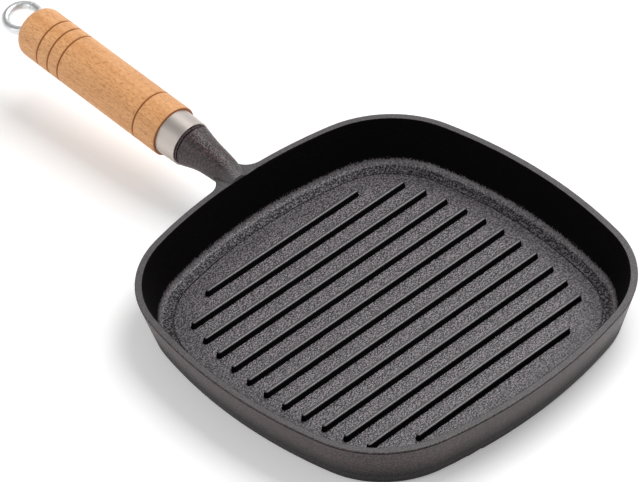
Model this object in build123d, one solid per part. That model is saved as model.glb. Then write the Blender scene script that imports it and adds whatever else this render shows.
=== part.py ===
from build123d import *
import math
import os

# Square cast iron grill pan with a wooden handle, in millimetres.
# The origin is the middle of the flat underside and +Z is up.
# The handle points along -X and the ribs run along Y.

# Pan casting
rim_width = 240.0
rim_height = 31.2
side_bow_radius = 293.6
corner_radius = 62.0
wall_lean = 8.7
wall_thickness = 4.3
floor_thickness = 3.3
base_edge_radius = 4.4
floor_fillet_radius = 8.0
rim_outer_round = 0.5
rim_inner_round = 0.6

# Line cast into the floor round the ribs
floor_line_inset = 18.5
floor_line_corner_radius = 47.5
floor_line_width = 0.9
floor_line_depth = 0.5

# Ribs, whose ends follow an arc, with the outermost pair cut shorter
rib_count = 13
rib_height = 3.8
rib_width = 3.8
rib_draft = 11.0
rib_top_round = 1.0
outer_rib_margin = 38.2
rib_pattern_offset = -0.9
rib_end_margin = 29.1
rib_end_arc_radius = 240.0
outer_rib_shortening = 18.5

# Handle axis, which starts at the rim's outer edge and rises outwards
axis_below_rim = 0.47
handle_rise = 4.65

# Neck, cast in one with the pan
neck_length = 33.9
neck_end_radius = 12.8
neck_end_round = 1.2
neck_root_distance = 10.8
neck_root_radius = 8.7
neck_hollow = 0.65
cone_sections = 4
web_core_length = 22.0
web_reach = 12.0
waist_distance = 3.5
waist_half_width = 7.9
waist_half_height = 7.0
waist_drop = 1.0
heel_half_width = 6.0
heel_half_height = 5.1
heel_drop = 4.0
heel_setback = 0.1
heel_round = 0.4
web_radius = 12.5
web_crease_depth = 0.7
spigot_length = 6.1

# Ferrule
ferrule_gap = 1.4
ferrule_length = 14.1
ferrule_pan_radius = 13.5
ferrule_wood_radius = 14.0
ferrule_wall = 0.9
ferrule_lip_round = 0.25

# Wooden grip
grip_length = 119.5
grip_radius = 15.55
grip_shoulder_round = 0.8
grip_end_round = 8.0
groove_width = 1.6
groove_depth = 0.8
groove_place_shares = (0.148, 0.68, 0.752, 0.827)
recess_depth = 4.4

# Eye bolt: a wire ring welded to a rod with a rolled thread
wire_diameter = 5.2
ring_radius = 10.0
ring_offset = 0.9
ring_turn = -6.6
seam_place = 105.0
seam_width = 0.5
seam_depth = 0.25
thread_diameter = 6.0
thread_pitch = 1.0
thread_depth = 0.6
thread_turns = 21
screwed_in_length = 18.0
tapped_hole_spare = 1.5

# Washer under the ring
washer_diameter = 16.0
washer_thickness = 1.2

# Clearances
thread_clearance = 0.05
seat_clearance = 0.05
ring_clearance = 0.3
recess_clearance = 0.45
bore_clearance = 0.4
washer_hole_clearance = 0.2

# Every cut runs past its surface by this much
overrun = 2.0

# Largest share of a rib's half width that its rounding may take
full_round_share = 0.9

# Places along the handle axis, counted from the rim's outer edge
half_rim = rim_width / 2
axis_height = rim_height - axis_below_rim
spigot_end = neck_length + spigot_length
ferrule_start = neck_length + ferrule_gap
grip_start = ferrule_start + ferrule_length
grip_end = grip_start + grip_length
recess_floor = grip_end - recess_depth
washer_top = recess_floor + washer_thickness
ring_centre = washer_top + ring_clearance + wire_diameter / 2 + ring_radius
rod_end = spigot_end - screwed_in_length
spigot_radius = ferrule_pan_radius - ferrule_wall - seat_clearance

# The recess leaves the ring room to turn where it leaves the wood
ring_reach = ring_radius + wire_diameter / 2
ring_height_above = ring_centre - grip_end
ring_half_chord = math.sqrt(max(0, ring_reach**2 - ring_height_above**2))
recess_radius = max(ring_half_chord + ring_offset, washer_diameter / 2) + recess_clearance

handle_frame = Plane(
    origin=(-half_rim, 0, axis_height),
    x_dir=(0, 1, 0),
    z_dir=(-math.cos(math.radians(handle_rise)), 0, math.sin(math.radians(handle_rise))),
)


def rounded_square(inset, corner_radius_outside=corner_radius):
    # Square outline with bowed sides and round corners, inset from the rim's outer edge.
    # The corner arcs are centred where they run smoothly into the side arcs.
    side_centre = side_bow_radius - half_rim
    centres_apart = side_bow_radius - corner_radius_outside
    root = math.sqrt(2 * centres_apart**2 - side_centre**2)
    corner_centre = (root - side_centre) / 2
    radius = corner_radius_outside - inset
    along = corner_centre + radius * (corner_centre + side_centre) / centres_apart
    across = corner_centre + radius * corner_centre / centres_apart
    diagonal = corner_centre + radius * math.sqrt(0.5)
    side = ThreePointArc((along, -across), (half_rim - inset, 0), (along, across))
    corner = ThreePointArc((along, across), (diagonal, diagonal), (across, along))
    edges = [Rot(0, 0, 90 * quarter) * edge for quarter in range(4) for edge in (side, corner)]
    return make_face(edges)


def leaning_block(inset, bottom, bottom_round):
    # Solid from a height to well above the rim, whose walls lean out as the pan's do.
    lean_inset = wall_lean * (rim_height - bottom) / rim_height
    lean_angle = math.degrees(math.atan2(wall_lean, rim_height))
    face = Pos(0, 0, bottom) * rounded_square(inset + lean_inset)
    block = extrude(face, amount=rim_height + neck_end_radius - bottom, taper=-lean_angle)
    return fillet(block.faces().sort_by(Axis.Z)[0].edges(), bottom_round)


def upright_cylinder(radius, bottom, top):
    return Pos(0, 0, bottom) * Cylinder(
        radius, top - bottom, align=(Align.CENTER, Align.CENTER, Align.MIN)
    )


def turned(points):
    # Solid turned about the Z axis from (radius, height) points.
    return revolve(make_face(Polyline(*[(radius, 0, height) for radius, height in points], close=True)))


def neck_radius(place):
    # Radius of the neck's cone at a place along the handle axis.
    share = (neck_length - place) / (neck_length - neck_root_distance)
    return neck_end_radius + share * (neck_root_radius - neck_end_radius)


def neck():
    # Round neck: a cone along the handle axis that sinks and flattens over the rim.
    # Its top line is straight, and its underside is slightly hollow.
    sections = []
    for number in range(cone_sections):
        share = number / (cone_sections - 1)
        place = neck_length - share * (neck_length - neck_root_distance)
        hollow = neck_hollow * math.sin(math.pi * share)
        circle = Pos(0, -hollow) * Circle(neck_radius(place) - hollow)
        sections.append(handle_frame.offset(place) * circle)
    rim_stations = (
        (half_rim + waist_distance, waist_drop, waist_half_width, waist_half_height),
        (half_rim - wall_thickness - overrun, heel_drop, heel_half_width, heel_half_height),
    )
    for distance, drop, half_width, half_height in rim_stations:
        upright = Plane((-distance, 0, rim_height - drop), x_dir=(0, 1, 0), z_dir=(-1, 0, 0))
        sections.append(upright * Ellipse(half_width, half_height))
    solid = loft(sections)
    solid = fillet(solid.faces().sort_by(Axis.X)[0].edges(), neck_end_round)
    solid -= leaning_block(wall_thickness - heel_setback, floor_thickness, floor_fillet_radius)
    heel = solid.faces().sort_by(Axis.X)[-1]
    return fillet(heel.edges().sort_by(Axis.Z)[-1], heel_round)


def is_neck_root(edge):
    # True for the loop where the neck runs into the pan's outer wall.
    box = edge.bounding_box()
    beside_wall = box.max.X < -half_rim + wall_lean and box.min.X > -half_rim - neck_root_distance
    return beside_wall and abs(box.min.Y) < 2 * neck_end_radius


def rim_and_webs():
    # Filled pan with the webs beside the neck, cut flat at the rim's height.
    core = handle_frame * turned(
        (
            (0, -wall_thickness),
            (neck_radius(-wall_thickness) - web_crease_depth, -wall_thickness),
            (neck_radius(web_core_length) - web_crease_depth, web_core_length),
            (0, web_core_length),
        )
    )
    joined = leaning_block(0, 0, base_edge_radius) + core
    joined = fillet(joined.edges().filter_by(is_neck_root), web_radius)
    keep = Pos(-half_rim - web_reach, 0, 0) * Box(
        2 * rim_width, 2 * rim_width, rim_height, align=(Align.MIN, Align.CENTER, Align.MIN)
    )
    return joined & keep


def is_rim_edge(edge):
    # False for what the neck hides.
    return edge.bounding_box().max.X > -half_rim - neck_root_distance


def rib(place, half_length):
    slot = SlotOverall(2 * half_length, rib_width, rotation=90)
    bar = extrude(Pos(place, 0, floor_thickness) * slot, amount=rib_height, taper=rib_draft)
    half_top = rib_width / 2 - rib_height * math.tan(math.radians(rib_draft))
    rounding = min(rib_top_round, full_round_share * half_top)
    return fillet(bar.faces().sort_by(Axis.Z)[-1].edges(), rounding)


def ribs():
    outermost = half_rim - outer_rib_margin
    pitch = 2 * outermost / (rib_count - 1)
    bars = []
    for number in range(rib_count):
        place = number * pitch - outermost
        arc_drop = rib_end_arc_radius - math.sqrt(rib_end_arc_radius**2 - place**2)
        half_length = half_rim - rib_end_margin - arc_drop
        if number in (0, rib_count - 1):
            half_length -= outer_rib_shortening
        bars.append(rib(place + rib_pattern_offset, half_length))
    return bars


def floor_line():
    # Ring-shaped cutter of the shallow line, with leaning sides.
    half_width = floor_line_width / 2
    lean = math.degrees(math.atan2(half_width / 2, floor_line_depth))
    bottom = Pos(0, 0, floor_thickness - floor_line_depth)
    corner = floor_line_corner_radius + floor_line_inset
    outside = bottom * rounded_square(floor_line_inset - half_width / 2, corner)
    inside = bottom * rounded_square(floor_line_inset + half_width / 2, corner)
    wide = extrude(outside, amount=2 * floor_line_depth, taper=-lean)
    return wide - extrude(inside, amount=2 * floor_line_depth, taper=lean)


def pan_body():
    pan = rim_and_webs() - leaning_block(wall_thickness, floor_thickness, floor_fillet_radius)
    rim_top = pan.faces().sort_by(Axis.Z)[-1]
    pan = fillet(rim_top.inner_wires()[0].edges(), rim_inner_round)
    rim_top = pan.faces().sort_by(Axis.Z)[-1]
    pan = fillet(rim_top.outer_wire().edges().filter_by(is_rim_edge), rim_outer_round)
    pan = pan + neck() + ribs() - floor_line()
    spigot = upright_cylinder(spigot_radius, neck_length, spigot_end)
    tapped_hole = upright_cylinder(
        thread_diameter / 2 + thread_clearance, rod_end - tapped_hole_spare, spigot_end + overrun
    )
    return pan + handle_frame * spigot - handle_frame * tapped_hole


def ferrule_inside(place):
    # Inner radius of the ferrule, which widens towards the wood.
    share = (place - ferrule_start) / ferrule_length
    outside = ferrule_pan_radius + share * (ferrule_wood_radius - ferrule_pan_radius)
    return outside - ferrule_wall


def ferrule():
    tube = turned(
        (
            (ferrule_inside(ferrule_start), ferrule_start),
            (ferrule_pan_radius, ferrule_start),
            (ferrule_wood_radius, grip_start),
            (ferrule_inside(grip_start), grip_start),
        )
    )
    lip = tube.edges().filter_by(GeomType.CIRCLE).group_by(Axis.Z)[0]
    return handle_frame * fillet(lip, ferrule_lip_round)


def wood_handle():
    outline = [
        (0, spigot_end),
        (ferrule_inside(spigot_end) - seat_clearance, spigot_end),
        (ferrule_inside(grip_start) - seat_clearance, grip_start),
        (grip_radius, grip_start),
    ]
    for share in groove_place_shares:
        place = grip_start + share * grip_length
        outline.append((grip_radius, place - groove_width / 2))
        outline.append((grip_radius - groove_depth, place))
        outline.append((grip_radius, place + groove_width / 2))
    outline += [(grip_radius, grip_end), (0, grip_end)]
    grip = turned(outline)
    grip = fillet(grip.edges().filter_by(GeomType.CIRCLE).sort_by(Axis.Z)[-1], grip_end_round)
    shoulder = grip.edges().filter_by(is_grip_shoulder)
    grip = fillet(shoulder, grip_shoulder_round)
    grip -= upright_cylinder(recess_radius, recess_floor, grip_end + overrun)
    bore_radius = thread_diameter / 2 + bore_clearance
    return handle_frame * (grip - upright_cylinder(bore_radius, spigot_end - overrun, grip_end))


def is_grip_shoulder(edge):
    # True for the outer circle of the shoulder that the ferrule butts against.
    box = edge.bounding_box()
    at_shoulder = box.size.Z < groove_depth and abs(box.min.Z - grip_start) < groove_depth
    return at_shoulder and box.max.X > grip_radius - groove_depth


def washer():
    hole = upright_cylinder(thread_diameter / 2 + washer_hole_clearance, recess_floor, washer_top)
    return handle_frame * (upright_cylinder(washer_diameter / 2, recess_floor, washer_top) - hole)


def threaded_rod():
    # The thread is drawn as rings at its pitch.
    crest = thread_diameter / 2
    outline = [(0, rod_end)]
    for turn in range(thread_turns):
        start = rod_end + turn * thread_pitch
        outline.append((crest - thread_depth, start))
        outline.append((crest, start + thread_pitch / 2))
    thread_end = rod_end + thread_turns * thread_pitch
    outline.append((wire_diameter / 2, thread_end))
    outline += [(wire_diameter / 2, ring_centre - ring_radius), (0, ring_centre - ring_radius)]
    return turned(outline)


def weld_seam():
    # Shallow cut round the wire where the ring's ends were butt welded.
    half_width = seam_width / 2
    outside = upright_cylinder(wire_diameter / 2 + overrun, -half_width, half_width)
    inside = upright_cylinder(wire_diameter / 2 - seam_depth, -half_width, half_width)
    spot = Rot(0, -seam_place, 0) * Pos(0, 0, -ring_radius) * Rot(0, 90, 0)
    return spot * (outside - inside)


def eye_bolt():
    ring = Rot(90, 0, 0) * Torus(ring_radius, wire_diameter / 2) - weld_seam()
    bolt = threaded_rod() + Pos(ring_offset, 0, ring_centre) * ring
    return handle_frame * (Rot(0, 0, ring_turn) * bolt)


os.makedirs("parts", exist_ok=True)
for piece in (pan_body, ferrule, wood_handle, washer, eye_bolt):
    solid = piece()
    export_step(solid, f"parts/{piece.__name__}.step")
    print(f"{piece.__name__}: {solid.volume:.0f} mm3")
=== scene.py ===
import math
import bpy
from mathutils import Matrix, Vector

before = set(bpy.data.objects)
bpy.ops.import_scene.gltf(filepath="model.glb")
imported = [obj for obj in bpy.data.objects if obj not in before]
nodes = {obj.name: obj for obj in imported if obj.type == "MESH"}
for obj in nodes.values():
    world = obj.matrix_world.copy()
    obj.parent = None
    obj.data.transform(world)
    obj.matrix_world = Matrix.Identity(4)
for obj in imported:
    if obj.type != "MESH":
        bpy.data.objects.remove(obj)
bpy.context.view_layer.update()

nodeGap = 180   # spreads each tree's nodes out in the editor
print("frame loaded:", ", ".join(sorted(nodes)))


def hexToLinear(code):
    # sRGB hex colour to the linear colour that the sockets take
    values = [int(code[i:i + 2], 16) / 255 for i in (1, 3, 5)]
    linear = [v / 12.92 if v <= 0.04045 else ((v + 0.055) / 1.055) ** 2.4 for v in values]
    return (*linear, 1.0)


def perMetre(millimetres):
    # texture scale at which one feature is this many millimetres wide
    return 1000 / millimetres


def addNode(tree, kind, settings=None, links=None):
    # settings go to the node's properties or its sockets, links join sockets to its inputs
    node = tree.nodes.new(kind)
    node.location = (nodeGap * len(tree.nodes), 0)
    for key, value in (settings or {}).items():
        if isinstance(key, str) and hasattr(node, key):
            setattr(node, key, value)
        else:
            node.inputs[key].default_value = value
    for key, socket in (links or {}).items():
        tree.links.new(socket, node.inputs[key])
    return node


def newMaterial(name):
    material = bpy.data.materials.new(name)
    material.use_nodes = True
    material.node_tree.nodes.clear()
    return material, material.node_tree


def dress(nodeName, material):
    for slot in nodes[nodeName].material_slots:
        slot.material = material


# Places on the handle's axis, in metres, as the model has them
handle = {
    "start": Vector((-0.120, 0.0, 0.03073)),
    "rise": math.radians(4.65),
    "gripEnd": 0.1689,
    "gripRadius": 0.01555,
}


def handleCoords(tree):
    # Object coordinates turned so that X runs out along the handle from the rim's edge
    coords = addNode(tree, "ShaderNodeTexCoord")
    moved = addNode(tree, "ShaderNodeVectorMath", {"operation": "SUBTRACT", 1: handle["start"]},
                    {0: coords.outputs["Object"]})
    turned = addNode(tree, "ShaderNodeVectorRotate",
                     {"rotation_type": "Y_AXIS", "Angle": math.pi - handle["rise"]},
                     {"Vector": moved.outputs["Vector"]})
    return turned.outputs["Vector"]


# Grey cast iron, sand cast and baked black with oil: near black and half matt. The floor is
# pebbled by the grains of the mould, with bare grey on their tops. The crests and the rim are
# worn smoother, and the outside is a little brown. Steep faces inside, the floor towards the
# walls and the inner walls above the round's strip are painted near black as painted shade,
# with a line of painted shade under the rim's edge. The cast line, the floor beyond it and the
# outer walls towards the bottom are darker. The cast line's outward-facing side and the neck's
# top near the rim carry painted highlights.
# Heights, reaches and depths are in metres, grain sizes in millimetres
iron = {
    "hollowColour": "#1c151a",
    "grainColour": "#776e75",
    "wornColour": "#443d41",
    "rimShade": "#464244",
    "rimColour": "#5a5658",
    # painted highlight on the cast line's outward-facing side
    "lineHighlightColour": "#8d868a",
    # near black for painted shade and for the other darkening
    "shadeAndDarkColour": "#040203",
    "outsideColour": "#0d0709",
    "outsideGrain": "#4b3337",
    # painted highlight on the neck's top near the rim
    "heelHighlightColour": "#4a4446",
    "pebble": 1.0,          # mm
    "outsidePebble": 1.2,   # mm, coarser than the real sand so that it shows
    "pebbleDetail": 1.0,
    "grit": 0.8,            # mm, coarser than real grit so that it shows
    "gritDetail": 0.0,
    "lump": 7.0,            # mm
    "lumpDetail": 2.0,
    "grainFrom": 0.42,      # noise at which a hollow ends, and at which a grain's top begins
    "grainTo": 0.62,
    "pebbleDepth": 0.00045,
    "gritDepth": 0.00012,
    "lumpDepth": 0.0003,
    "lumpStrength": 0.25,
    "wornStrength": 0.2,    # what wear leaves of the pebbles and the grit
    "roughness": 0.42,
    "shadeAndDarkRoughness": 0.65,
    "insideGloss": 0.5,
    "shadeAndDarkGloss": 0.035,
    "outsideGloss": 0.28,
    "ior": 1.85,            # magnetite under an oil film
    "levelTilt": 0.97,      # the normal's upward part is more than this on level faces
    "crestTilt": 0.3,       # more than this on the ribs' crests and their rounds
    "underTilt": -0.3,      # and less than this on the underside
    "outwardTilt": 0.1,     # its outward part is more than this on faces turned from the middle
    "steepFrom": 0.85,      # the normal's upward part where painted shade begins, and where it is full
    "steepTo": 0.45,
    "slack": 0.0001,        # a face this near a height still counts as at it
    "rimHeight": 0.0312,
    "crestFrom": 0.0062,    # heights between which the ribs grow smooth
    "crestTo": 0.0068,
    "crestLimit": 0.0136,   # anything higher isn't a rib
    "outsideFrom": 0.103,
    "neckFrom": 0.1157,     # the neck's top shows above the rim from here out
    "neckAll": 0.1205,      # and everything from here out is neck
    "squareness": 3.3,      # power that fits the pan's bowed square outline
    "lineFrom": 0.1000,     # the cast line, and the darker floor beyond it
    "lineTo": 0.1022,
    "beyondLineDark": 0.8,       # darkening in its hollows, and on its grains
    "beyondLineDarkGrain": 0.4,
    "floorHeight": 0.0033,
    "lineDepth": 0.0005,
    "stripFrom": 0.0047,  # heights of the strip in the round below the walls that is left free of painted shade
    "stripTo": 0.0075,
    "stripFade": 0.0004,
    "raggedness": 0.004,    # how far the grains shift the strip's upper edge, for a noise of 1
    "raggedFade": 0.0006,
    "heelHighlightFrom": 0.119,      # painted highlight: the neck's top is lighter grey near the rim, where it catches the light, and less so farther out
    "heelHighlightTo": 0.127,
    "floorShadeFrom": 0.082,      # painted shade: the floor grows darker towards the cast line, where the walls shade it
    "floorShadeTo": 0.099,
    "floorShadeMost": 0.3,
    "wallDarkFrom": 0.022,     # the outer walls grow blacker from here down to here
    "wallDarkTo": 0.006,
    "wallDarkShare": 0.85,
    "lipHeight": 0.0303,    # a thin line of painted shade under the rim's edge
    "lipHalf": 0.0004,
}


def makeCastIron():
    material, tree = newMaterial("grey cast iron, sand cast and baked black")
    coords = addNode(tree, "ShaderNodeTexCoord")
    place = coords.outputs["Object"]
    normal = coords.outputs["Normal"]
    placeParts = addNode(tree, "ShaderNodeSeparateXYZ", None, {"Vector": place})
    normalParts = addNode(tree, "ShaderNodeSeparateXYZ", None, {"Vector": normal})
    alongX = placeParts.outputs["X"]
    height = placeParts.outputs["Z"]
    upward = normalParts.outputs["Z"]

    # distance from the middle, alike all along the bowed square outline
    powers = []
    for axis in ("X", "Y"):
        size = addNode(tree, "ShaderNodeMath", {"operation": "ABSOLUTE"},
                       {0: placeParts.outputs[axis]})
        power = addNode(tree, "ShaderNodeMath", {"operation": "POWER", 1: iron["squareness"]},
                        {0: size.outputs[0]})
        powers.append(power.outputs[0])
    summed = addNode(tree, "ShaderNodeMath", {"operation": "ADD"}, {0: powers[0], 1: powers[1]})
    root = addNode(tree, "ShaderNodeMath", {"operation": "POWER", 1: 1 / iron["squareness"]},
                   {0: summed.outputs[0]})
    reach = root.outputs[0]

    # how far a face looks away from the middle
    flat = addNode(tree, "ShaderNodeVectorMath", {"operation": "MULTIPLY", 1: (1, 1, 0)},
                   {0: place})
    away = addNode(tree, "ShaderNodeVectorMath", {"operation": "NORMALIZE"},
                   {0: flat.outputs["Vector"]})
    facing = addNode(tree, "ShaderNodeVectorMath", {"operation": "DOT_PRODUCT"},
                     {0: away.outputs["Vector"], 1: normal})
    outward = facing.outputs["Value"]

    # grains of the mould
    noise = {}
    for name, detail in (("pebble", "pebbleDetail"), ("outsidePebble", "pebbleDetail"),
                         ("grit", "gritDetail"), ("lump", "lumpDetail")):
        noise[name] = addNode(tree, "ShaderNodeTexNoise",
                              {"Scale": perMetre(iron[name]), "Detail": iron[detail]},
                              {"Vector": place}).outputs["Fac"]

    # shares of the surface by its place and its tilt, each 1 within and 0 elsewhere
    share = {}
    tests = (
        ("level", upward, "GREATER_THAN", iron["levelTilt"]),
        ("tilted", upward, "GREATER_THAN", iron["crestTilt"]),
        ("under", upward, "LESS_THAN", iron["underTilt"]),
        ("low", height, "LESS_THAN", iron["crestLimit"]),
        ("overRim", height, "GREATER_THAN", iron["rimHeight"] + iron["slack"]),
        ("floor", height, "GREATER_THAN", iron["floorHeight"] - iron["slack"] / 2),
        ("far", reach, "GREATER_THAN", iron["outsideFrom"]),
        ("outward", outward, "GREATER_THAN", iron["outwardTilt"]),
        ("notOutward", outward, "LESS_THAN", iron["outwardTilt"]),
        ("pastRim", alongX, "LESS_THAN", -iron["neckFrom"]),
        ("pastEdge", alongX, "LESS_THAN", -iron["neckAll"]),
    )
    for name, socket, operation, limit in tests:
        share[name] = addNode(tree, "ShaderNodeMath", {"operation": operation, 1: limit},
                              {0: socket}).outputs[0]
    for name, middle, half in (("rimLevel", iron["rimHeight"], iron["slack"]),
                               ("lip", iron["lipHeight"], iron["lipHalf"])):
        share[name] = addNode(tree, "ShaderNodeMath", {"operation": "COMPARE", 1: middle, 2: half},
                              {0: height}).outputs[0]

    # the same with soft edges. The noise that frays the strip's upper edge is a half on average
    ragged = addNode(tree, "ShaderNodeMath", {"operation": "MULTIPLY_ADD", 1: iron["raggedness"]},
                     {0: noise["pebble"], 2: height}).outputs[0]
    raggedTo = iron["stripTo"] + iron["raggedness"] / 2
    ramps = (
        ("crestHigh", height, iron["crestFrom"], iron["crestTo"]),
        ("inLine", height, iron["floorHeight"] - iron["slack"],
         iron["floorHeight"] - iron["lineDepth"]),
        # painted shade on steep faces inside
        ("steep", upward, iron["steepFrom"], iron["steepTo"]),
        ("belowStrip", height, iron["stripFrom"] + iron["stripFade"],
         iron["stripFrom"] - iron["stripFade"]),
        ("aboveStrip", ragged, raggedTo - iron["raggedFade"], raggedTo + iron["raggedFade"]),
        ("beyondLine", reach, iron["lineFrom"], iron["lineTo"]),
        ("nearRim", alongX, -iron["heelHighlightTo"], -iron["heelHighlightFrom"]),
        ("floorShade", reach, iron["floorShadeFrom"], iron["floorShadeTo"]),
        ("flame", height, iron["wallDarkFrom"], iron["wallDarkTo"]),
    )
    for name, socket, start, end in ramps:
        share[name] = addNode(tree, "ShaderNodeMapRange",
                              {"interpolation_type": "SMOOTHSTEP",
                               "From Min": start, "From Max": end},
                              {"Value": socket}).outputs["Result"]
    for name, grains in (("grain", "pebble"), ("outsideGrain", "outsidePebble")):
        share[name] = addNode(tree, "ShaderNodeMapRange",
                              {"From Min": iron["grainFrom"], "From Max": iron["grainTo"]},
                              {"Value": noise[grains]}).outputs["Result"]
    share["hollow"] = addNode(tree, "ShaderNodeMapRange",
                              {"To Min": iron["beyondLineDark"], "To Max": iron["beyondLineDarkGrain"]},
                              {"Value": share["grain"]}).outputs["Result"]
    for name, most in (("floorShade", iron["floorShadeMost"]), ("flame", iron["wallDarkShare"])):
        share[name] = addNode(tree, "ShaderNodeMath", {"operation": "MULTIPLY", 1: most},
                              {0: share[name]}).outputs[0]

    # the rim's ground top, the ribs' crests, the outer walls, the neck and the underside, the
    # heel with its painted highlight, the round below the walls, darker below its strip and in
    # painted shade above it, the outer walls' darkening with its line of painted shade under the
    # rim, the cast line with a painted highlight on its outward-facing side, and painted shade on
    # steep faces and on the floor towards the walls
    joined = (
        ("rim", "MULTIPLY", "level", "rimLevel"),
        ("crest", "MULTIPLY", "crestHigh", "low"),
        ("crest", "MULTIPLY", "crest", "tilted"),
        ("worn", "MAXIMUM", "rim", "crest"),
        ("wall", "MULTIPLY", "far", "outward"),
        ("neckTop", "MULTIPLY", "overRim", "pastRim"),
        ("outside", "MAXIMUM", "wall", "neckTop"),
        ("outside", "MAXIMUM", "outside", "pastEdge"),
        ("outside", "MAXIMUM", "outside", "under"),
        # painted highlight on the neck's top near the rim
        ("heelHighlight", "MULTIPLY", "neckTop", "nearRim"),
        ("round", "MULTIPLY", "belowStrip", "hollow"),
        ("round", "MAXIMUM", "round", "aboveStrip"),
        # a thin dark line of painted shade under the rim's edge, joined to the walls' darkening
        # towards the bottom
        ("flame", "MAXIMUM", "flame", "lip"),
        ("flame", "MULTIPLY", "flame", "wall"),
        ("clean", "MAXIMUM", "outside", "rim"),
        ("clean", "SUBTRACT", "clean", "flame"),
        # painted highlight: the cast line's outward-facing side is coloured pale
        ("lineHighlight", "MULTIPLY", "inLine", "outward"),
        ("inLine", "MULTIPLY", "inLine", "notOutward"),
        ("steep", "MAXIMUM", "steep", "floorShade"),
    )
    for name, operation, one, other in joined:
        share[name] = addNode(tree, "ShaderNodeMath", {"operation": operation},
                              {0: share[one], 1: share[other]}).outputs[0]

    # inside the cast line, painted shade lies on steep faces and on the floor towards the walls,
    # and the line itself is dark; beyond it the floor is darker below the strip and in painted
    # shade above it; the outer walls are darker towards the bottom, with a line of painted shade
    # under the rim's edge
    chosen = (
        ("insideShadeAndLine", "floor", "inLine", "steep"),
        ("shadeAndDark", "beyondLine", "insideShadeAndLine", "round"),
        ("shadeAndDark", "flame", "shadeAndDark", "flame"),
    )
    for name, factor, one, other in chosen:
        share[name] = addNode(tree, "ShaderNodeMix", {"data_type": "FLOAT"},
                              {"Factor": share[factor], "A": share[one],
                               "B": share[other]}).outputs["Result"]

    # bumps, faint where worn
    strength = addNode(tree, "ShaderNodeMapRange", {"To Min": 1.0, "To Max": iron["wornStrength"]},
                       {"Value": share["worn"]}).outputs["Result"]
    pebbles = addNode(tree, "ShaderNodeMix", {"data_type": "FLOAT"},
                      {"Factor": share["outside"], "A": noise["pebble"],
                       "B": noise["outsidePebble"]})
    bump = addNode(tree, "ShaderNodeBump",
                   {"Distance": iron["lumpDepth"], "Strength": iron["lumpStrength"]},
                   {"Height": noise["lump"]})
    for depth, grains in (("pebbleDepth", pebbles.outputs["Result"]), ("gritDepth", noise["grit"])):
        bump = addNode(tree, "ShaderNodeBump", {"Distance": iron[depth]},
                       {"Height": grains, "Normal": bump.outputs["Normal"], "Strength": strength})

    # colours: three are mottled by the grains, and each layer covers the ones before it
    mottled = {}
    for name, hollow, top, grains in (("inside", "hollowColour", "grainColour", "grain"),
                                      ("outside", "outsideColour", "outsideGrain", "outsideGrain"),
                                      ("rim", "rimShade", "rimColour", "grain")):
        mottled[name] = addNode(tree, "ShaderNodeMix",
                                {"data_type": "RGBA", 6: hexToLinear(iron[hollow]),
                                 7: hexToLinear(iron[top])}, {0: share[grains]}).outputs[2]
    colour = mottled["inside"]
    # the layers carry painted highlights on the cast line and the heel, and painted shade
    layers = (("worn", "wornColour"), ("shadeAndDark", "shadeAndDarkColour"), ("lineHighlight", "lineHighlightColour"),
              ("outside", "mottled"), ("flame", "shadeAndDarkColour"), ("heelHighlight", "heelHighlightColour"),
              ("rim", "mottled"))
    for name, top in layers:
        settings = {"data_type": "RGBA"}
        links = {0: share[name], 6: colour}
        if top == "mottled":
            links[7] = mottled[name]
        else:
            settings[7] = hexToLinear(iron[top])
        colour = addNode(tree, "ShaderNodeMix", settings, links).outputs[2]

    # the iron is matt and hardly shines where painted shade and the other darkening lie
    finish = {}
    finishes = (
        ("Specular IOR Level", "insideGloss", "shadeAndDarkGloss", "outsideGloss"),
        ("Roughness", "roughness", "shadeAndDarkRoughness", "roughness"),
    )
    for name, bare, darkened, clean in finishes:
        inside = addNode(tree, "ShaderNodeMapRange", {"To Min": iron[bare], "To Max": iron[darkened]},
                         {"Value": share["shadeAndDark"]})
        finish[name] = addNode(tree, "ShaderNodeMix", {"data_type": "FLOAT", "B": iron[clean]},
                               {"Factor": share["clean"],
                                "A": inside.outputs["Result"]}).outputs["Result"]
    surface = addNode(tree, "ShaderNodeBsdfPrincipled", {"IOR": iron["ior"]},
                      {"Base Color": colour, "Normal": bump.outputs["Normal"], **finish})
    addNode(tree, "ShaderNodeOutputMaterial", None, {"Surface": surface.outputs["BSDF"]})
    return material


dress("pan_body", makeCastIron())
print("pan dressed")

# Beech, turned and oiled: honey coloured, with short brown flecks along the grain, and burnt
# dark where the grooves were scorched with a wire
beech = {
    "pale": "#efb47d",
    "dark": "#d99a60",
    "fleck": "#a8672f",
    "burnt": "#9a5d2a",
    "bandLength": 60.0,     # mm
    "bandWidth": 5.0,       # mm
    "bandDetail": 3.0,
    "bandRoughness": 0.5,
    "bandFrom": 0.3,        # noise at which a dark band begins, and at which it is full
    "bandTo": 0.7,
    "bandMost": 1.0,
    "fleckLength": 2.6,     # mm
    "fleckWidth": 0.42,     # mm
    "fleckDetail": 2.0,
    "fleckRoughness": 0.6,
    "fleckFrom": 0.48,
    "fleckTo": 0.72,
    "fleckMost": 0.9,
    "fleckDepth": 0.00008,  # metres, as are the next three
    "burntDip": 0.00045,    # below the grip's full radius, where the scorching is full
    "paleDip": 0.00005,     # and where it begins
    "roundEnd": 0.0085,     # length of the grip's round end, which isn't scorched
    "bumpStrength": 0.5,
    "roughness": 0.5,
}


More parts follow.
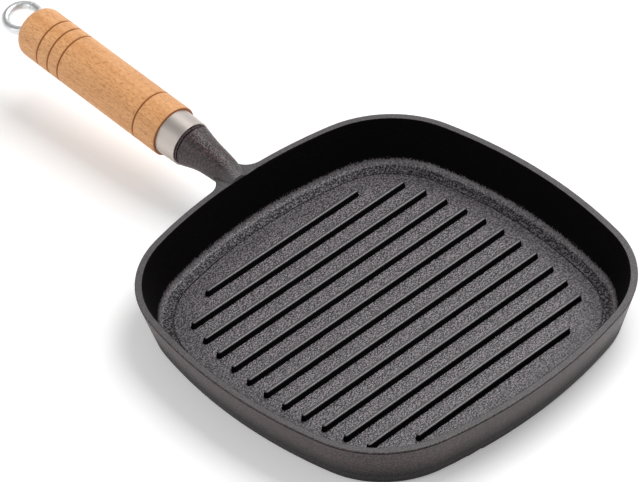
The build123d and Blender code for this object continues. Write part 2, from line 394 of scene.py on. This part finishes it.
def makeBeech():
    material, tree = newMaterial("beech, turned and oiled")
    along = handleCoords(tree)
    noise = {}
    share = {}
    for name in ("band", "fleck"):
        across = perMetre(beech[name + "Width"])
        placed = addNode(tree, "ShaderNodeMapping",
                         {"Scale": (perMetre(beech[name + "Length"]), across, across)},
                         {"Vector": along})
        noise[name] = addNode(tree, "ShaderNodeTexNoise",
                              {"Scale": 1.0, "Detail": beech[name + "Detail"],
                               "Roughness": beech[name + "Roughness"]},
                              {"Vector": placed.outputs[0]}).outputs["Fac"]
        share[name] = addNode(tree, "ShaderNodeMapRange",
                              {"From Min": beech[name + "From"], "From Max": beech[name + "To"],
                               "To Max": beech[name + "Most"]},
                              {"Value": noise[name]}).outputs["Result"]

    # scorched wherever the surface dips under the grip's full radius, short of its round end
    parts = addNode(tree, "ShaderNodeSeparateXYZ", None, {"Vector": along})
    fromAxis = addNode(tree, "ShaderNodeCombineXYZ", None,
                       {"Y": parts.outputs["Y"], "Z": parts.outputs["Z"]})
    radius = addNode(tree, "ShaderNodeVectorMath", {"operation": "LENGTH"},
                     {0: fromAxis.outputs[0]})
    dip = addNode(tree, "ShaderNodeMapRange",
                  {"From Min": handle["gripRadius"] - beech["burntDip"],
                   "From Max": handle["gripRadius"] - beech["paleDip"],
                   "To Min": 1.0, "To Max": 0.0}, {"Value": radius.outputs["Value"]})
    shortOfEnd = addNode(tree, "ShaderNodeMath",
                         {"operation": "LESS_THAN", 1: handle["gripEnd"] - beech["roundEnd"]},
                         {0: parts.outputs["X"]})
    share["burnt"] = addNode(tree, "ShaderNodeMath", {"operation": "MULTIPLY"},
                             {0: dip.outputs["Result"], 1: shortOfEnd.outputs[0]}).outputs[0]

    colour = addNode(tree, "ShaderNodeMix",
                     {"data_type": "RGBA", 6: hexToLinear(beech["pale"]),
                      7: hexToLinear(beech["dark"])}, {0: share["band"]})
    for name in ("fleck", "burnt"):
        colour = addNode(tree, "ShaderNodeMix", {"data_type": "RGBA", 7: hexToLinear(beech[name])},
                         {0: share[name], 6: colour.outputs[2]})
    bump = addNode(tree, "ShaderNodeBump",
                   {"Distance": beech["fleckDepth"], "Strength": beech["bumpStrength"]},
                   {"Height": noise["fleck"]})
    surface = addNode(tree, "ShaderNodeBsdfPrincipled", {"Roughness": beech["roughness"]},
                      {"Base Color": colour.outputs[2], "Normal": bump.outputs["Normal"]})
    addNode(tree, "ShaderNodeOutputMaterial", None, {"Surface": surface.outputs["BSDF"]})
    return material


dress("wood_handle", makeBeech())
print("grip dressed")

# Stainless steel tube, turned with a fine tool: satin, with faint rings round it
ferrule = {
    "colour": "#c9c0ba",
    "toolMark": 0.5,        # mm, coarser than the real marks so that they show
    "markLength": 50.0,     # mm, so that each runs nearly all the way round
    "markDetail": 2.0,
    "markDepth": 0.00002,   # metres
    "bumpStrength": 0.5,
    "roughness": 0.46,
}


def makeFerruleSteel():
    material, tree = newMaterial("stainless steel, turned satin")
    along = handleCoords(tree)
    around = perMetre(ferrule["markLength"])
    rings = addNode(tree, "ShaderNodeMapping",
                    {"Scale": (perMetre(ferrule["toolMark"]), around, around)}, {"Vector": along})
    marks = addNode(tree, "ShaderNodeTexNoise", {"Scale": 1.0, "Detail": ferrule["markDetail"]},
                    {"Vector": rings.outputs[0]})
    bump = addNode(tree, "ShaderNodeBump",
                   {"Distance": ferrule["markDepth"], "Strength": ferrule["bumpStrength"]},
                   {"Height": marks.outputs["Fac"]})
    surface = addNode(tree, "ShaderNodeBsdfPrincipled",
                      {"Base Color": hexToLinear(ferrule["colour"]), "Metallic": 1.0,
                       "Roughness": ferrule["roughness"]}, {"Normal": bump.outputs["Normal"]})
    addNode(tree, "ShaderNodeOutputMaterial", None, {"Surface": surface.outputs["BSDF"]})
    return material


dress("ferrule", makeFerruleSteel())

# Mild steel wire with bright zinc plate: a pale, soft and slightly uneven shine
zinc = {
    "colour": "#e6e7e8",
    "ripple": 2.2,          # mm
    "rippleDetail": 3.0,
    "rippleDepth": 0.00012,     # metres
    "bumpStrength": 0.6,
    "rippleFrom": 0.35,     # noise between which the shine changes
    "rippleTo": 0.65,
    "smoothest": 0.30,      # roughness at either end
    "roughest": 0.44,
}


def makeZincPlate():
    material, tree = newMaterial("mild steel, bright zinc plated")
    coords = addNode(tree, "ShaderNodeTexCoord")
    ripple = addNode(tree, "ShaderNodeTexNoise",
                     {"Scale": perMetre(zinc["ripple"]), "Detail": zinc["rippleDetail"]},
                     {"Vector": coords.outputs["Object"]})
    bump = addNode(tree, "ShaderNodeBump",
                   {"Distance": zinc["rippleDepth"], "Strength": zinc["bumpStrength"]},
                   {"Height": ripple.outputs["Fac"]})
    shine = addNode(tree, "ShaderNodeMapRange",
                    {"From Min": zinc["rippleFrom"], "From Max": zinc["rippleTo"],
                     "To Min": zinc["smoothest"], "To Max": zinc["roughest"]},
                    {"Value": ripple.outputs["Fac"]})
    surface = addNode(tree, "ShaderNodeBsdfPrincipled",
                      {"Base Color": hexToLinear(zinc["colour"]), "Metallic": 1.0},
                      {"Roughness": shine.outputs["Result"], "Normal": bump.outputs["Normal"]})
    addNode(tree, "ShaderNodeOutputMaterial", None, {"Surface": surface.outputs["BSDF"]})
    return material


zincPlate = makeZincPlate()
dress("eye_bolt", zincPlate)
dress("washer", zincPlate)
print("metal dressed")

# Studio: matt white paper under a pale room, with a big soft light high behind the pan and a
# weak one in front. Sizes and distances are in metres
studio = {
    "floorSize": 8.0,
    "floorDrop": 0.0002,    # below the pan's foot, so that they don't share a plane
    "floorColour": "#f2f2f2",
    "floorLift": 0.25,      # glow that keeps the paper white to the eye and in reflections
    "horizonLight": 0.85,
    "zenithLight": 0.3,
    "horizonTo": 0.3,       # upward part of the direction where the pale paper ends
    "zenithFrom": 0.6,      # and where the dimmer room above is all there is
    "middle": Vector((-0.03, 0.0, 0.0)),
}
lamps = {
    "key softbox": {"direction": (0.0, 0.49, 0.87), "distance": 2.0, "size": (1.2, 1.2),
                    "radiance": 6.2},
    "front softbox": {"direction": (-0.1, -0.78, 0.62), "distance": 2.4, "size": (1.2, 1.2),
                      "radiance": 2.0},
}


def makeFloor():
    half = studio["floorSize"] / 2
    z = -studio["floorDrop"]
    corners = [(-half, -half, z), (half, -half, z), (half, half, z), (-half, half, z)]
    mesh = bpy.data.meshes.new("floor")
    mesh.from_pydata(corners, [], [(0, 1, 2, 3)])
    floor = bpy.data.objects.new("floor", mesh)
    bpy.context.scene.collection.objects.link(floor)
    material, tree = newMaterial("white studio paper")
    paper = addNode(tree, "ShaderNodeBsdfDiffuse", {"Color": hexToLinear(studio["floorColour"])})
    rays = addNode(tree, "ShaderNodeLightPath")
    seen = rays.outputs["Is Camera Ray"]
    for kind in ("Is Glossy Ray", "Is Transmission Ray"):
        seen = addNode(tree, "ShaderNodeMath", {"operation": "MAXIMUM"},
                       {0: seen, 1: rays.outputs[kind]}).outputs[0]
    lift = addNode(tree, "ShaderNodeMath", {"operation": "MULTIPLY", 1: studio["floorLift"]},
                   {0: seen})
    glow = addNode(tree, "ShaderNodeEmission", None, {"Strength": lift.outputs[0]})
    lit = addNode(tree, "ShaderNodeAddShader", None, {0: paper.outputs[0], 1: glow.outputs[0]})
    addNode(tree, "ShaderNodeOutputMaterial", None, {"Surface": lit.outputs[0]})
    mesh.materials.append(material)


def makeWorld():
    world = bpy.data.worlds.new("studio")
    bpy.context.scene.world = world
    world.use_nodes = True
    tree = world.node_tree
    tree.nodes.clear()
    coords = addNode(tree, "ShaderNodeTexCoord")
    parts = addNode(tree, "ShaderNodeSeparateXYZ", None, {"Vector": coords.outputs["Generated"]})
    room = addNode(tree, "ShaderNodeMapRange",
                   {"From Min": studio["horizonTo"], "From Max": studio["zenithFrom"],
                    "To Min": studio["horizonLight"], "To Max": studio["zenithLight"]},
                   {"Value": parts.outputs["Z"]})
    sky = addNode(tree, "ShaderNodeBackground", {"Color": (1, 1, 1, 1)},
                  {"Strength": room.outputs["Result"]})
    addNode(tree, "ShaderNodeOutputWorld", None, {"Surface": sky.outputs[0]})


def makeLamps():
    for name, lamp in lamps.items():
        data = bpy.data.lights.new(name, "AREA")
        data.shape = "RECTANGLE"
        data.size, data.size_y = lamp["size"]
        data.energy = lamp["radiance"] * math.pi * data.size * data.size_y
        light = bpy.data.objects.new(name, data)
        towards = Vector(lamp["direction"]).normalized()
        light.location = studio["middle"] + towards * lamp["distance"]
        light.rotation_mode = "QUATERNION"
        light.rotation_quaternion = towards.to_track_quat("Z", "Y")
        light.visible_camera = False
        bpy.context.scene.collection.objects.link(light)


makeFloor()
makeWorld()
makeLamps()
print("studio lit")

# Camera fitted to the photograph, with angles in degrees and distances in metres
camera = {
    "azimuth": 48.677,
    "elevation": 41.738,
    "roll": -3.651,
    "distance": 2.41249,
    "target": Vector((-0.07252, 0.018446, 0.0)),
    "focalPixels": 4353.826,
    "imageWidth": 640,      # pixels
    "sensorWidth": 36,      # mm
    "clipFrom": 0.1,
    "clipTo": 50,
}


def makeCamera():
    azimuth = math.radians(camera["azimuth"])
    elevation = math.radians(camera["elevation"])
    roll = math.radians(camera["roll"])
    back = Vector((math.sin(azimuth) * math.cos(elevation),
                   -math.cos(azimuth) * math.cos(elevation), math.sin(elevation)))
    right = Vector((math.cos(azimuth), math.sin(azimuth), 0))
    up = back.cross(right)
    rolledRight = math.cos(roll) * right + math.sin(roll) * up
    rolledUp = math.cos(roll) * up - math.sin(roll) * right
    data = bpy.data.cameras.new("camera")
    data.sensor_fit = "HORIZONTAL"
    data.sensor_width = camera["sensorWidth"]
    data.lens = camera["focalPixels"] * camera["sensorWidth"] / camera["imageWidth"]
    data.clip_start, data.clip_end = camera["clipFrom"], camera["clipTo"]
    view = bpy.data.objects.new("camera", data)
    view.matrix_world = Matrix((
        (rolledRight.x, rolledUp.x, back.x, 0),
        (rolledRight.y, rolledUp.y, back.y, 0),
        (rolledRight.z, rolledUp.z, back.z, 0),
        (0, 0, 0, 1),
    ))
    view.location = camera["target"] + back * camera["distance"]
    bpy.context.scene.collection.objects.link(view)
    bpy.context.scene.camera = view


makeCamera()
bpy.context.scene.view_settings.view_transform = "Standard"
print("camera placed")
